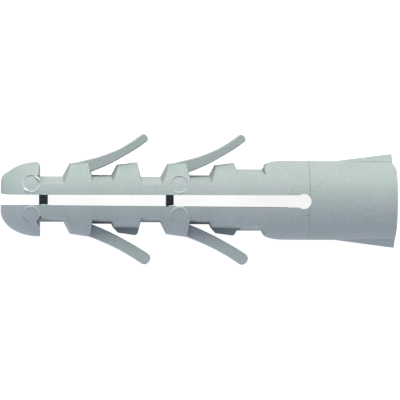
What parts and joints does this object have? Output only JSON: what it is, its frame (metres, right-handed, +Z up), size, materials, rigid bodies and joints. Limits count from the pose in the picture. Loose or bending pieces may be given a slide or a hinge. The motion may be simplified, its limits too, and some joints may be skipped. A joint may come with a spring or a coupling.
{
  "type": "wall plug",
  "caption": "Split nylon wall plug with a barbed nose, toothed legs, folding wings and a ribbed collar around its screw bore.",
  "frame": {"origin": "centre of the screw bore at the mouth of the plug", "axes": "+X along the plug's axis and out of its mouth, so the nose is at -X; +Y and -Y towards the wings and ribs; +Z up, square to the mould's parting plane"},
  "size_m": [0.04, 0.0133, 0.008],
  "materials": {
    "grey_nylon": "moulded nylon with a fine matte grain"
  },
  "bodies": {
    "root": {"plug": "grey_nylon"}
  },
  "joints": []
}
